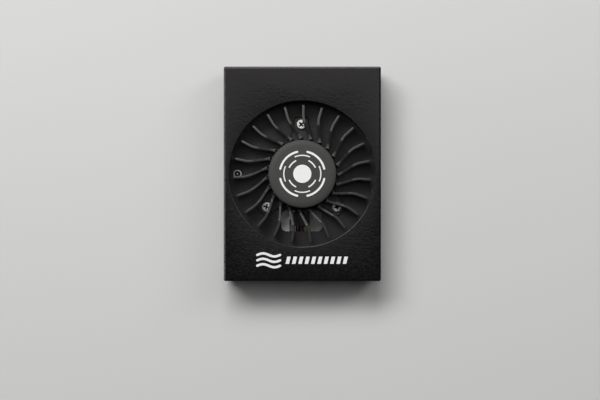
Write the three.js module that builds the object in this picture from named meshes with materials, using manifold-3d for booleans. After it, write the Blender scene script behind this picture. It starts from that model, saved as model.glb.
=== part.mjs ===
// A low-profile active cooler for a small computer module: a finned heatsink under a flat cover,
// with a radial blower in the cover's round intake and a four-wire lead that ends in a small plug.
// Millimetres, +Z up. The origin is the middle of the footprint, on the plane that the feet stand on,
// and it lies on the fan's axis. +Y runs along the cooler's length, away from the lead's window.

import * as THREE from 'three';
import { mergeVertices } from 'three/addons/utils/BufferGeometryUtils.js';
import Module from 'manifold-3d';

const wasm = await Module();
wasm.setup();

// ---------------------------------------------------------------------------------------------
// Driving dimensions
// ---------------------------------------------------------------------------------------------

// Envelope of the cooler, and the levels of its layers above the feet.
const WIDTH = 51.0;
const LENGTH = 69.6;
const HEIGHT = 13.5;
const BASE_LOW = 3.0;
const BASE_TOP = 5.5;
const COVER_LOW = 12.5;

// Gaps between parts that fit together, how far solids that are joined reach into each other, and
// how far a cutting solid reaches past the face that it opens.
const PRESS_GAP = 0.05;
const SCREW_GAP = 0.1;
const JOINT = 0.4;
const BEYOND = 1.0;

// Cover: a plate with a skirt down each long side.
const CORNER_RADIUS = 0.6;
const EDGE_CHAMFER = 0.45;
const SKIRT = 1.0;
const INTAKE_RADIUS = 23.6;
const INTAKE_SIDES = 60;
const SKIRT_LOW = 2.8;

// Heatsink base: a plate with a pedestal over the processor and a hollow foot at each corner.
const BASE_WIDTH = WIDTH - 2 * SKIRT - 0.2;
const POCKET_DEPTH = 1.0;
const POCKET_GAP = 0.25;
const WINDOW = { width: 13.6, length: 7.0, radius: 1.8, x: -0.15, y: -15.4 };
const LEAD_CHANNEL = { x: -0.45, width: 4.6, low: 4.5 };
const PEDESTAL = { size: 22.0, low: 1.6 };
const FOOT = { x: 21.5, y: 31.3, radius: 2.5, hole: 0.85, depth: 4.5 };

// Thermal pads under the base, one for each hot part of the module.
const PADS = {
  processor: { width: 20, length: 20, x: 0, y: 0, low: 1.2, top: PEDESTAL.low },
  memory: { width: 24, length: 8, x: 0, y: 20, low: 1.2, top: BASE_LOW },
  power: { width: 8, length: 22, x: 17, y: 0, low: 1.4, top: BASE_LOW },
};

// A thin-walled insert in the floor at the pocket's left, with the end of a small pin in it.
const INSERT = { x: -21.4, y: 0.1, outer: 1.4, inner: 1.0, low: 3.2, top: 5.6, edge: 0.15 };
const INSERT_PIN = { radius: 0.32, foot: 0.95, footHeight: 0.6, top: 5.3, tip: 0.15 };

// Fins, standing on the base at both ends, cut back round the fan.
const FIN_COUNT = 31;
const FIN_PITCH = 1.6;
const FIN_THICKNESS = 0.35;
const FIN_STRIP = 0.4;
const FIN_SETBACK = 0.3;
const FIN_INNER_RADIUS = 24.6;
const FIN_OUTER_Y = 34.2;
const FIN_TOP = COVER_LOW - 0.1;

// Screws of the cover (countersunk, through the skirts) and of the fan (pan head, on the ears).
const COVER_SCREW = { y: 27.0, z: 4.25, head: 1.15, headDepth: 0.6, shank: 0.6, length: 3.0 };
const COVER_SCREW_RECESS = { reach: 0.6, width: 0.26, depth: 0.4 };
const FAN_SCREW = { head: 1.6, headHeight: 1.0, face: 1.25, edge: 0.3, shank: 0.95, length: 1.7 };
const FAN_SCREW_RECESS = { reach: 0.88, width: 0.45, depth: 0.6 };
const THREAD_LOW = 3.4;
const SIDE_THREAD_DEPTH = 4.0;
const EARS = [
  { x: -0.3, y: 16.4 },
  { x: -11.8, y: -10.8 },
  { x: 11.4, y: -10.8 },
];

// Fan bracket: a disc with three arms that end in ears.
const BRACKET = { low: BASE_TOP - POCKET_DEPTH, top: 5.3, disc: 9.5, ear: 4.7, earRadius: 1.0 };
const BRACKET_ARM = { start: 5.0, halfWidth: 5.2 };

// Bearing, from the tube pressed in the bracket to the shaft.
const TUBE = { outer: 2.6, inner: 2.1, top: 10.0, recess: 0.2 };
const SLEEVE_BEARING_LOW = 5.7;
const SHAFT_RADIUS = 0.75;
const SHAFT_CLEARANCE = 0.09;
const SHAFT_LOW = 4.9;
const SHAFT_TOP = 12.6;
const SHAFT_EDGE = 0.15;
const GROOVE = { low: 5.15, top: 5.5, radius: 0.5, ringRadius: 1.4 };

// Motor board, with a sensor and a chip on it, and the stator above it.
const BOARD = { outer: 8.6, inner: 2.9, low: 5.3, top: 5.8 };
const HALL_SENSOR = { width: 1.4, length: 0.9, height: 0.6, radius: 7.1, degrees: 45 };
const DRIVER_CHIP = { width: 2.2, length: 2.2, height: 0.6, radius: 6.1, degrees: 225 };
const STATOR = { low: 6.8, top: 9.2, radius: 7.9, shoe: 7.0, bore: 2.7, yoke: 4.0, tooth: 2.4 };
const SHOE_HALF_ANGLE = 35;
const INSULATOR = 0.3;
const COIL = { width: 4.6, height: 3.7, inner: 4.2, outer: 6.5, corner: 0.9 };

// Rotor: moulded impeller, steel cup and ring magnet on the shaft.
const HUB = { radius: 11.0, wall: 0.75, low: 6.6, top: 13.2, edge: 0.15, rim: 10.75 };
const HUB_BOSS = { radius: 2.2, gap: 0.4 };
const LABEL_THICKNESS = 0.25;
const LABEL_DROP = 0.02;
const BLADE_COUNT = 23;
const FIRST_BLADE_DEGREES = 89.0;
const BLADE = { low: 6.8, innerTop: 9.8, crest: 12.2, outerTop: 11.65, tip: 22.6, thickness: 0.8 };
const BLADE_STEP = { inner: 13.1, outer: 16.6 };
const BLADE_BEND = { radius: 19.0, span: 8.0, degrees: 14.4, power: 1.7 };
const BLADE_ROOT = { radius: 11.8, flare: 0.35, overlap: 0.4 };
const CUP = { outer: 10.05, inner: 9.55, low: 6.9, top: 12.1, wall: 0.5, hole: 2.35 };
const MAGNET = { outer: 9.45, inner: 8.3, low: 7.0, top: 11.0 };

// Lead: four wires side by side, from the motor board down through the window, round under the
// base and back to the plug. Each stop on the middle line is [x, y, z, distance between wires].
const WIRE_RADIUS = 0.35;
const WIRE_SIDES = 8;
const LEAD_ROUTE = [
  [-0.45, -8.95, 5.75, 0.95],
  [-0.45, -10.3, 5.75, 1.0],
  [-0.45, -11.5, 5.6, 1.0],
  [-0.45, -12.4, 5.15, 1.0],
  [-0.45, -14.0, 4.217, 1.0],
  [-0.45, -15.6, 3.283, 1.0],
  [-0.45, -17.2, 2.35, 1.0],
  [-0.45, -18.6, 1.55, 0.98],
  [-0.45, -20.4, 0.8, 0.9],
  [-0.45, -22.6, 0.45, 0.82],
  [-0.45, -25.0, 0.42, 0.8],
  [-0.45, -27.0, 0.42, 0.8],
  [-1.358, -29.192, 0.42, 0.8],
  [-3.55, -30.1, 0.42, 0.8],
  [-5.742, -29.192, 0.42, 0.8],
  [-6.65, -27.0, 0.42, 0.8],
  [-6.65, -24.6, 0.5, 0.85],
  [-6.65, -22.2, 1.0, 0.95],
  [-6.65, -19.8, 1.5, 1.0],
];
const SLEEVE = { start: 3, end: 6, inset: 0.35, x: -0.225, width: 5.35, height: 1.5, wall: 0.25 };
const SLEEVE_ROUND = 0.73;

// Plug: a four-way housing, its front towards +Y, lying under the window's corner.
const PLUG = { x: -6.65, rear: -19.5, step: -15.2, front: -14.0, low: 0.05, top: 2.85, pitch: 1.0 };
const PLUG_WIDTH = { rear: 4.8, front: 5.5 };
const PLUG_CAVITY = { width: 0.62, height: 0.9 };
const PLUG_SLOT = { width: 0.42, length: 2.2, y: -17.5, depth: 0.5 };
const PLUG_NOTCH = { offset: 1.35, width: 1.7, length: 0.4, depth: 1.2 };
const CONTACT = { width: 0.42, height: 0.5, length: 4.4, y: -16.8 };
const WAYS = [-1.5, -0.5, 0.5, 1.5];

// ---------------------------------------------------------------------------------------------
// Materials
// ---------------------------------------------------------------------------------------------

function surface(color, roughness, metalness) {
  return new THREE.MeshStandardMaterial({ color, roughness, metalness, flatShading: true });
}

const PAINTED_BLACK = surface(0x1b1b1c, 0.62, 0.3);
const ANODISED_BLACK = surface(0x202123, 0.5, 0.7);
const MOULDED_BLACK = surface(0x2a2b2c, 0.55, 0.0);
const LABEL_GREY = surface(0x3a3a3a, 0.7, 0.0);
const NICKEL = surface(0xc9c6c0, 0.25, 1.0);
const STEEL = surface(0x9a9a98, 0.35, 1.0);
const BRASS = surface(0xb08d4a, 0.35, 1.0);
const BRONZE = surface(0x8c5a33, 0.45, 1.0);
const COPPER = surface(0xb4622d, 0.35, 1.0);
const LAMINATION = surface(0x6c6d70, 0.45, 1.0);
const MAGNET_GREY = surface(0x2d2d2f, 0.8, 0.2);
const BOARD_GREEN = surface(0x1f4a35, 0.6, 0.0);
const CHIP_BLACK = surface(0x161617, 0.6, 0.0);
const NYLON_WHITE = surface(0xe4e2dc, 0.5, 0.0);
const SLEEVE_BLACK = surface(0x242426, 0.6, 0.0);
const PAD_GREY = surface(0x8f969b, 0.9, 0.0);
const WIRE_COLOURS = {
  brown: surface(0x5e2a1d, 0.5, 0.0),
  black: surface(0x19191b, 0.5, 0.0),
  red: surface(0x9c2118, 0.5, 0.0),
  yellow: surface(0xb98a35, 0.5, 0.0),
};

// ---------------------------------------------------------------------------------------------
// Geometry helpers
// ---------------------------------------------------------------------------------------------

const radians = THREE.MathUtils.degToRad;
const MERGE_DISTANCE = 1e-4;

function volumeOf(geometry) {
  const position = geometry.attributes.position;
  const index = geometry.index.array;
  const [a, b, c] = [new THREE.Vector3(), new THREE.Vector3(), new THREE.Vector3()];
  let sum = 0;
  for (let i = 0; i < index.length; i += 3) {
    a.fromBufferAttribute(position, index[i]);
    b.fromBufferAttribute(position, index[i + 1]);
    c.fromBufferAttribute(position, index[i + 2]);
    sum += a.dot(b.cross(c));
  }
  return sum / 6;
}

// The same surface with shared corners merged, empty triangles dropped and its faces turned outwards.
function watertight(geometry) {
  const bare = geometry.clone();
  bare.deleteAttribute('normal');
  bare.deleteAttribute('uv');
  const merged = mergeVertices(bare, MERGE_DISTANCE);
  const index = merged.index.array;
  const kept = [];
  for (let i = 0; i < index.length; i += 3) {
    const corners = [index[i], index[i + 1], index[i + 2]];
    if (new Set(corners).size === 3) kept.push(...corners);
  }
  merged.setIndex(kept);
  if (volumeOf(merged) < 0) {
    kept.reverse();
    merged.setIndex(kept);
  }
  return merged;
}

function toSolid(geometry) {
  const closed = watertight(geometry);
  const vertProperties = closed.attributes.position.array;
  const triVerts = new Uint32Array(closed.index.array);
  return new wasm.Manifold(new wasm.Mesh({ numProp: 3, vertProperties, triVerts }));
}

function fromSolid(solid) {
  const mesh = solid.getMesh();
  const geometry = new THREE.BufferGeometry();
  geometry.setAttribute('position', new THREE.BufferAttribute(mesh.vertProperties, 3));
  geometry.setIndex(new THREE.BufferAttribute(mesh.triVerts, 1));
  return geometry;
}

function join(...geometries) {
  return fromSolid(geometries.map(toSolid).reduce((whole, next) => whole.add(next)));
}

function cut(geometry, ...tools) {
  return fromSolid(tools.map(toSolid).reduce((whole, tool) => whole.subtract(tool), toSolid(geometry)));
}

function common(first, second) {
  return fromSolid(toSolid(first).intersect(toSolid(second)));
}

function arc(x, y, radius, from, to, steps) {
  return Array.from({ length: steps + 1 }, (_, i) => {
    const angle = from + ((to - from) * i) / steps;
    return new THREE.Vector2(x + radius * Math.cos(angle), y + radius * Math.sin(angle));
  });
}

function circle(radius, sides, x = 0, y = 0) {
  return arc(x, y, radius, 0, 2 * Math.PI, sides).slice(0, -1);
}

function roundedRectangle(width, length, radius, x = 0, y = 0, steps = 4) {
  const [cx, cy] = [width / 2 - radius, length / 2 - radius];
  const quarter = Math.PI / 2;
  return [
    ...arc(x + cx, y + cy, radius, 0, quarter, steps),
    ...arc(x - cx, y + cy, radius, quarter, 2 * quarter, steps),
    ...arc(x - cx, y - cy, radius, 2 * quarter, 3 * quarter, steps),
    ...arc(x + cx, y - cy, radius, 3 * quarter, 4 * quarter, steps),
  ];
}

// An upright prism on an outline, with holes right through it.
function prism(outline, low, high, holes = []) {
  const shape = new THREE.Shape(outline);
  shape.holes = holes.map((hole) => new THREE.Path(hole));
  return new THREE.ExtrudeGeometry(shape, { depth: high - low, bevelEnabled: false }).translate(0, 0, low);
}

function block(width, length, low, high, x = 0, y = 0) {
  return new THREE.BoxGeometry(width, length, high - low).translate(x, y, (low + high) / 2);
}

function disc(radius, low, high, x = 0, y = 0, sides = 24) {
  return prism(circle(radius, sides, x, y), low, high);
}

function washer(outer, inner, low, high, sides = 40) {
  return prism(circle(outer, sides), low, high, [circle(inner, sides)]);
}

// A solid of revolution about +Z from a profile of [radius, height] corners.
function turned(profile, sides) {
  const corners = profile.map(([radius, height]) => new THREE.Vector2(radius, height));
  return new THREE.LatheGeometry(corners, sides).rotateX(Math.PI / 2);
}

// A closed skin over a row of sections that have the same number of corners.
function loft(sections) {
  const count = sections[0].length;
  const corners = sections.flat();
  const index = [];
  for (let s = 0; s + 1 < sections.length; s += 1) {
    for (let i = 0; i < count; i += 1) {
      const [a, b] = [s * count + i, s * count + ((i + 1) % count)];
      index.push(a, b, b + count, a, b + count, a + count);
    }
  }
  const last = (sections.length - 1) * count;
  for (let i = 1; i + 1 < count; i += 1) {
    index.push(0, i + 1, i);
    index.push(last, last + i, last + i + 1);
  }
  return new THREE.BufferGeometry().setFromPoints(corners).setIndex(index);
}

function piece(name, geometry, material) {
  const mesh = new THREE.Mesh(watertight(geometry), material);
  mesh.name = name;
  return mesh;
}

// ---------------------------------------------------------------------------------------------
// Cover
// ---------------------------------------------------------------------------------------------

// A hole through a skirt for a countersunk screw, along X.
function countersink(side, y) {
  const { head, shank, headDepth, z } = COVER_SCREW;
  const clearance = shank + SCREW_GAP;
  const bottom = -SKIRT - BEYOND;
  const profile = [
    [0, PRESS_GAP],
    [head + 2 * PRESS_GAP, PRESS_GAP],
    [clearance, -headDepth],
    [clearance, bottom],
    [0, bottom],
  ];
  return turned(profile, 16)
    .rotateY((side * Math.PI) / 2)
    .translate((side * WIDTH) / 2, y, z);
}

function topCover() {
  const outline = roundedRectangle(WIDTH, LENGTH, CORNER_RADIUS);
  const shape = new THREE.Shape(outline);
  shape.holes = [new THREE.Path(circle(INTAKE_RADIUS, INTAKE_SIDES))];
  const thickness = HEIGHT - COVER_LOW;
  const chamfered = new THREE.ExtrudeGeometry(shape, {
    depth: thickness,
    bevelThickness: EDGE_CHAMFER,
    bevelSize: EDGE_CHAMFER,
    bevelOffset: -EDGE_CHAMFER,
    bevelSegments: 1,
  }).translate(0, 0, COVER_LOW - EDGE_CHAMFER);
  const plate = common(chamfered, block(2 * WIDTH, 2 * LENGTH, COVER_LOW, HEIGHT + BEYOND));
  const inside = block(WIDTH - 2 * SKIRT, 2 * LENGTH, 0, HEIGHT);
  const skirts = [-1, 1].map((side) => {
    const half = block(WIDTH / 2, 2 * LENGTH, 0, HEIGHT, (side * WIDTH) / 4);
    return cut(common(prism(outline, SKIRT_LOW, COVER_LOW + JOINT), half), inside);
  });
  const holes = [-1, 1].flatMap((side) => [-1, 1].map((end) => countersink(side, end * COVER_SCREW.y)));
  return cut(join(plate, ...skirts), ...holes);
}

// ---------------------------------------------------------------------------------------------
// Screws: all are turned about +Z, with the head's seat (or a flush head's face) at height 0
// ---------------------------------------------------------------------------------------------

function crossRecess({ reach, width, depth }, face) {
  const [low, high] = [face - depth, face + depth];
  return join(block(2 * reach, width, low, high), block(width, 2 * reach, low, high));
}

function panHeadScrew() {
  const { head, headHeight, face, edge, shank, length } = FAN_SCREW;
  const profile = [
    [0, headHeight],
    [face, headHeight],
    [head, headHeight - edge],
    [head, 0],
    [shank, 0],
    [shank, -length],
    [0, -length],
  ];
  return cut(turned(profile, 16), crossRecess(FAN_SCREW_RECESS, headHeight));
}

function flushScrew() {
  const { head, headDepth, shank, length } = COVER_SCREW;
  const profile = [[0, 0], [head, 0], [shank, -headDepth], [shank, -length], [0, -length]];
  return cut(turned(profile, 16), crossRecess(COVER_SCREW_RECESS, 0));
}

function coverScrews() {
  const places = [-1, 1].flatMap((side) => [-1, 1].map((end) => ({ side, end })));
  return places.map(({ side, end }, i) => {
    const screw = piece(`cover_screw_${i + 1}`, flushScrew(), NICKEL);
    screw.rotation.y = (side * Math.PI) / 2;
    screw.position.set((side * WIDTH) / 2, end * COVER_SCREW.y, COVER_SCREW.z);
    return screw;
  });
}

function fanScrews() {
  return EARS.map((ear, i) => {
    const screw = piece(`fan_screw_${i + 1}`, panHeadScrew(), NICKEL);
    screw.position.set(ear.x, ear.y, BRACKET.top);
    return screw;
  });
}

// ---------------------------------------------------------------------------------------------
// Fan bracket and heatsink base
// ---------------------------------------------------------------------------------------------

// The bracket's outline as a solid, or the pocket it lies in when it is grown all round.
function bracketBody(low, high, grow) {
  const arms = EARS.map(({ x, y }) => {
    const reach = Math.hypot(x, y);
    const angle = Math.atan2(y, x);
    const half = BRACKET.ear / 2 + grow;
    const { start, halfWidth } = BRACKET_ARM;
    const root = [new THREE.Vector2(start, halfWidth + grow), new THREE.Vector2(start, -halfWidth - grow)];
    const end = [new THREE.Vector2(reach, -half), new THREE.Vector2(reach, half)];
    const arm = prism([...root, ...end], low, high);
    const ear = prism(roundedRectangle(2 * half, 2 * half, BRACKET.earRadius, reach, 0), low, high);
    return join(arm, ear).rotateZ(angle);
  });
  return join(disc(BRACKET.disc + grow, low, high, 0, 0, 36), ...arms);
}

function fanBracket() {
  const holes = EARS.map(({ x, y }) => disc(FAN_SCREW.shank + SCREW_GAP, 0, HEIGHT, x, y));
  const bore = disc(TUBE.outer + PRESS_GAP, 0, HEIGHT);
  return cut(bracketBody(BRACKET.low, BRACKET.top, 0), bore, ...holes);
}

// A channel in the floor for the lead, from under the motor into the window.
function leadChannel() {
  const { x, width, low } = LEAD_CHANNEL;
  const start = BEYOND - BRACKET.disc;
  const length = start - WINDOW.y;
  return block(width, length, low, HEIGHT, x, start - length / 2);
}

function heatsinkBase() {
  const plate = prism(roundedRectangle(BASE_WIDTH, LENGTH, CORNER_RADIUS), BASE_LOW, BASE_TOP);
  const pedestal = block(PEDESTAL.size, PEDESTAL.size, PEDESTAL.low, BASE_LOW + JOINT);
  const corners = [-1, 1].flatMap((sx) => [-1, 1].map((sy) => ({ x: sx * FOOT.x, y: sy * FOOT.y })));
  const feet = corners.map(({ x, y }) => disc(FOOT.radius, 0, BASE_LOW + JOINT, x, y));
  const footHoles = corners.map(({ x, y }) => disc(FOOT.hole, -BEYOND, FOOT.depth, x, y, 16));
  const opening = roundedRectangle(WINDOW.width, WINDOW.length, WINDOW.radius, WINDOW.x, WINDOW.y, 6);
  const window = prism(opening, 0, HEIGHT);
  const pocket = bracketBody(BRACKET.low, HEIGHT, POCKET_GAP);
  const threads = EARS.map(({ x, y }) => disc(FAN_SCREW.shank + PRESS_GAP, THREAD_LOW, HEIGHT, x, y));
  const sideThreads = [-1, 1].flatMap((side) =>
    [-1, 1].map((end) =>
      disc(COVER_SCREW.shank + PRESS_GAP, -SIDE_THREAD_DEPTH, SIDE_THREAD_DEPTH)
        .rotateY(Math.PI / 2)
        .translate((side * WIDTH) / 2, end * COVER_SCREW.y, COVER_SCREW.z),
    ),
  );
  const insertHole = disc(INSERT.outer + PRESS_GAP, 0, HEIGHT, INSERT.x, INSERT.y);
  const cuts = [window, leadChannel(), pocket, insertHole, ...threads, ...sideThreads, ...footHoles];
  return cut(join(plate, pedestal, ...feet), ...cuts);
}

function sideInsert() {
  const { x, y, outer, inner, low, top, edge } = INSERT;
  const profile = [
    [inner, low],
    [outer, low],
    [outer, top - edge],
    [outer - edge, top],
    [inner, top],
    [inner, low],
  ];
  return turned(profile, 16).translate(x, y, 0);
}

function sidePin() {
  const { radius, foot, footHeight, top, tip } = INSERT_PIN;
  const profile = [
    [0, INSERT.low],
    [foot, INSERT.low],
    [foot, INSERT.low + footHeight],
    [radius, INSERT.low + footHeight],
    [radius, top - tip],
    [radius - tip, top],
    [0, top],
  ];
  return turned(profile, 12).translate(INSERT.x, INSERT.y, 0);
}

// Fins on a common strip, from the fan's clearance circle to just inside the cooler's end.
function finBank(end) {
  const inner = (x) => Math.sqrt(FIN_INNER_RADIUS ** 2 - x ** 2);
  const half = ((FIN_COUNT - 1) / 2) * FIN_PITCH + FIN_THICKNESS / 2;
  const reach = Math.acos(half / FIN_INNER_RADIUS);
  const scallop = arc(0, 0, FIN_INNER_RADIUS, Math.PI - reach, reach, 20);
  const outline = [...scallop, new THREE.Vector2(half, FIN_OUTER_Y), new THREE.Vector2(-half, FIN_OUTER_Y)];
  const fins = Array.from({ length: FIN_COUNT }, (_, i) => {
    const x = (i - (FIN_COUNT - 1) / 2) * FIN_PITCH;
    const start = inner(Math.min(Math.abs(x) + FIN_THICKNESS / 2, half));
    const length = FIN_OUTER_Y - start - FIN_SETBACK;
    const middle = FIN_OUTER_Y - length / 2;
    return block(FIN_THICKNESS, length, BASE_TOP + FIN_STRIP / 2, FIN_TOP, x, middle);
  });
  return join(prism(outline, BASE_TOP, BASE_TOP + FIN_STRIP), ...fins).rotateZ(end > 0 ? 0 : Math.PI);
}

function thermalPads() {
  return Object.entries(PADS).map(([name, { width, length, x, y, low, top }]) =>
    piece(`${name}_thermal_pad`, block(width, length, low, top, x, y), PAD_GREY),
  );
}

// ---------------------------------------------------------------------------------------------
// Motor: everything that stands still under the hub
// ---------------------------------------------------------------------------------------------

function bearingPieces() {
  const bore = SHAFT_RADIUS + SHAFT_CLEARANCE;
  const tube = washer(TUBE.outer, TUBE.inner, BRACKET.low, TUBE.top, 24);
  const inside = TUBE.inner - PRESS_GAP;
  const sleeve = washer(inside, bore, SLEEVE_BEARING_LOW, TUBE.top - TUBE.recess, 24);
  const thrust = disc(inside, BRACKET.low, SHAFT_LOW - SCREW_GAP);
  return [
    piece('bearing_tube', tube, BRASS),
    piece('sleeve_bearing', sleeve, BRONZE),
    piece('thrust_plate', thrust, CHIP_BLACK),
  ];
}

function chip({ width, length, height, radius, degrees }) {
  return block(width, length, BOARD.top, BOARD.top + height, radius, 0).rotateZ(radians(degrees));
}

function boardPieces() {
  return [
    piece('motor_board', washer(BOARD.outer, BOARD.inner, BOARD.low, BOARD.top), BOARD_GREEN),
    piece('hall_sensor', chip(HALL_SENSOR), CHIP_BLACK),
    piece('driver_chip', chip(DRIVER_CHIP), CHIP_BLACK),
  ];
}

const QUARTERS = [0, 1, 2, 3].map((i) => (i * Math.PI) / 2);

// A four-tooth star with a curved shoe at the end of each tooth.
function statorStar(low, high) {
  const spread = radians(SHOE_HALF_ANGLE);
  const shoe = prism(
    [...arc(0, 0, STATOR.radius, -spread, spread, 6), ...arc(0, 0, STATOR.shoe, spread, -spread, 6)],
    low,
    high,
  );
  const [toothStart, toothEnd] = [STATOR.bore + JOINT, STATOR.shoe + JOINT];
  const tooth = block(toothEnd - toothStart, STATOR.tooth, low, high, (toothStart + toothEnd) / 2, 0);
  const teeth = QUARTERS.map((angle) => join(shoe, tooth).rotateZ(angle));
  return cut(join(disc(STATOR.yoke, low, high), ...teeth), disc(STATOR.bore, 0, HEIGHT));
}

// One coil: a rounded loop round a tooth, with its hole along +X.
function coil() {
  const middle = (STATOR.low + STATOR.top) / 2;
  const core = STATOR.top - STATOR.low + 2 * INSULATOR;
  const hole = roundedRectangle(core + 2 * PRESS_GAP, STATOR.tooth + 2 * PRESS_GAP, 2 * PRESS_GAP);
  const loop = prism(roundedRectangle(COIL.height, COIL.width, COIL.corner), COIL.inner, COIL.outer, [hole]);
  return loop.rotateY(Math.PI / 2).translate(0, 0, middle);
}

function statorPieces() {
  const coils = QUARTERS.map((angle, i) => piece(`coil_${i + 1}`, coil().rotateZ(angle), COPPER));
  return [
    piece('stator_core', statorStar(STATOR.low, STATOR.top), LAMINATION),
    piece('lower_insulator', statorStar(STATOR.low - INSULATOR, STATOR.low), NYLON_WHITE),
    piece('upper_insulator', statorStar(STATOR.top, STATOR.top + INSULATOR), NYLON_WHITE),
    ...coils,
  ];
}

// ---------------------------------------------------------------------------------------------
// Rotor: everything that turns about the Z axis
// ---------------------------------------------------------------------------------------------

// How far, as an angle, a blade's middle line has swept from its tip's direction at a radius.
function bladeSweep(radius) {
  const inside = Math.max(BLADE_BEND.radius - radius, 0) / BLADE_BEND.span;
  return radians(BLADE_BEND.degrees * inside ** BLADE_BEND.power);
}

// The height of a blade's top, which climbs to a crest and falls gently from there to the tip.
function bladeTop(radius) {
  const share = (from, to) => THREE.MathUtils.clamp((radius - from) / (to - from), 0, 1);
  const climb = (BLADE.crest - BLADE.innerTop) * share(BLADE_STEP.inner, BLADE_STEP.outer);
  const fall = (BLADE.crest - BLADE.outerTop) * share(BLADE_STEP.outer, BLADE.tip);
  return BLADE.innerTop + climb - fall;
}

function bladePoint(radius, tipAngle) {
  const angle = tipAngle - bladeSweep(radius);
  return new THREE.Vector2(radius * Math.cos(angle), radius * Math.sin(angle));
}

function blade(tipAngle) {
  const root = HUB.radius - BLADE_ROOT.overlap;
  const radii = [root, BLADE_ROOT.radius, BLADE_STEP.inner, 14.2, 15.4, BLADE_STEP.outer, 18.2, BLADE.tip];
  return loft(radii.map((radius) => {
    const middle = bladePoint(radius, tipAngle);
    const along = bladePoint(radius + 0.1, tipAngle).sub(bladePoint(radius - 0.1, tipAngle)).normalize();
    const half = BLADE.thickness / 2 + Math.max(0, BLADE_ROOT.radius - radius) * BLADE_ROOT.flare;
    const across = new THREE.Vector2(-along.y, along.x).multiplyScalar(half);
    const left = middle.clone().add(across);
    const right = middle.clone().sub(across);
    return [
      new THREE.Vector3(left.x, left.y, BLADE.low),
      new THREE.Vector3(right.x, right.y, BLADE.low),
      new THREE.Vector3(right.x, right.y, bladeTop(radius)),
      new THREE.Vector3(left.x, left.y, bladeTop(radius)),
    ];
  }));
}

function impeller() {
  const { radius, wall, low, top, edge, rim } = HUB;
  const recess = top - LABEL_THICKNESS - LABEL_DROP;
  const bossLow = TUBE.top + HUB_BOSS.gap;
  const roof = CUP.top + PRESS_GAP;
  const [bore, boreTop] = [SHAFT_RADIUS + PRESS_GAP, SHAFT_TOP + PRESS_GAP];
  const hub = turned([
    [0, recess],
    [rim, recess],
    [rim, top],
    ...arc(radius - edge, top - edge, edge, Math.PI / 2, 0, 4).map((corner) => [corner.x, corner.y]),
    [radius, low],
    [radius - wall, low],
    [radius - wall, roof],
    [HUB_BOSS.radius, roof],
    [HUB_BOSS.radius, bossLow],
    [bore, bossLow],
    [bore, boreTop],
    [0, boreTop],
  ], 40);
  const step = (2 * Math.PI) / BLADE_COUNT;
  const first = radians(FIRST_BLADE_DEGREES);
  const blades = Array.from({ length: BLADE_COUNT }, (_, i) => blade(first - i * step));
  return join(hub, ...blades);
}

function rotorCup() {
  const { outer, inner, low, top, wall, hole } = CUP;
  const profile = [
    [hole, top - wall],
    [inner, top - wall],
    [inner, low],
    [outer, low],
    [outer, top],
    [hole, top],
    [hole, top - wall],
  ];
  return turned(profile, 40);
}

function rotorShaft() {
  return turned([
    [0, SHAFT_LOW],
    [SHAFT_RADIUS - SHAFT_EDGE, SHAFT_LOW],
    [SHAFT_RADIUS, SHAFT_LOW + SHAFT_EDGE],
    [SHAFT_RADIUS, GROOVE.low],
    [GROOVE.radius, GROOVE.low],
    [GROOVE.radius, GROOVE.top],
    [SHAFT_RADIUS, GROOVE.top],
    [SHAFT_RADIUS, SHAFT_TOP - SHAFT_EDGE],
    [SHAFT_RADIUS - SHAFT_EDGE, SHAFT_TOP],
    [0, SHAFT_TOP],
  ], 16);
}

function rotorPieces() {
  const labelTop = HUB.top - LABEL_DROP;
  const label = disc(HUB.rim - PRESS_GAP, labelTop - LABEL_THICKNESS, labelTop, 0, 0, 40);
  const [clipLow, clipTop] = [GROOVE.low + PRESS_GAP, GROOVE.top - PRESS_GAP];
  const clip = washer(GROOVE.ringRadius, GROOVE.radius + PRESS_GAP, clipLow, clipTop, 16);
  return [
    piece('impeller', impeller(), MOULDED_BLACK),
    piece('hub_label', label, LABEL_GREY),
    piece('rotor_cup', rotorCup(), STEEL),
    piece('rotor_magnet', washer(MAGNET.outer, MAGNET.inner, MAGNET.low, MAGNET.top), MAGNET_GREY),
    piece('rotor_shaft', rotorShaft(), STEEL),
    piece('retaining_ring', clip, NYLON_WHITE),
  ];
}

// ---------------------------------------------------------------------------------------------
// Lead and plug
// ---------------------------------------------------------------------------------------------

// The route of one wire: the lead's middle line, moved sideways in plan by its place in the row.
function wireRoute(place) {
  return LEAD_ROUTE.map(([x, y, z, spacing], i) => {
    const before = LEAD_ROUTE[Math.max(i - 1, 0)];
    const after = LEAD_ROUTE[Math.min(i + 1, LEAD_ROUTE.length - 1)];
    const along = new THREE.Vector2(after[0] - before[0], after[1] - before[1]).normalize();
    return new THREE.Vector3(x - along.y * spacing * place, y + along.x * spacing * place, z);
  });
}

function wire(place) {
  const path = new THREE.CatmullRomCurve3(wireRoute(place), false, 'centripetal');
  const steps = Math.round(path.getLength() / (5 * WIRE_RADIUS));
  const section = new THREE.Shape(circle(WIRE_RADIUS, WIRE_SIDES));
  return new THREE.ExtrudeGeometry(section, { steps, extrudePath: path, bevelEnabled: false });
}

// A flat sleeve over the four wires, along the straight stretch that slants through the window.
function leadSleeve() {
  const [start, end] = [LEAD_ROUTE[SLEEVE.start], LEAD_ROUTE[SLEEVE.end]].map(
    ([x, y, z]) => new THREE.Vector3(x, y, z),
  );
  const along = end.clone().sub(start);
  const length = along.length() - 2 * SLEEVE.inset;
  const { width, height, wall } = SLEEVE;
  const outer = roundedRectangle(width, height, SLEEVE_ROUND, 0, 0, 6);
  const inner = roundedRectangle(width - 2 * wall, height - 2 * wall, SLEEVE_ROUND - wall, 0, 0, 6);
  const sleeve = piece('lead_sleeve', prism(outer, 0, length, [inner]), SLEEVE_BLACK);
  sleeve.rotation.x = Math.atan2(-along.y, along.z);
  sleeve.position.copy(start).addScaledVector(along.normalize(), SLEEVE.inset).setX(SLEEVE.x);
  return sleeve;
}

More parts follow.
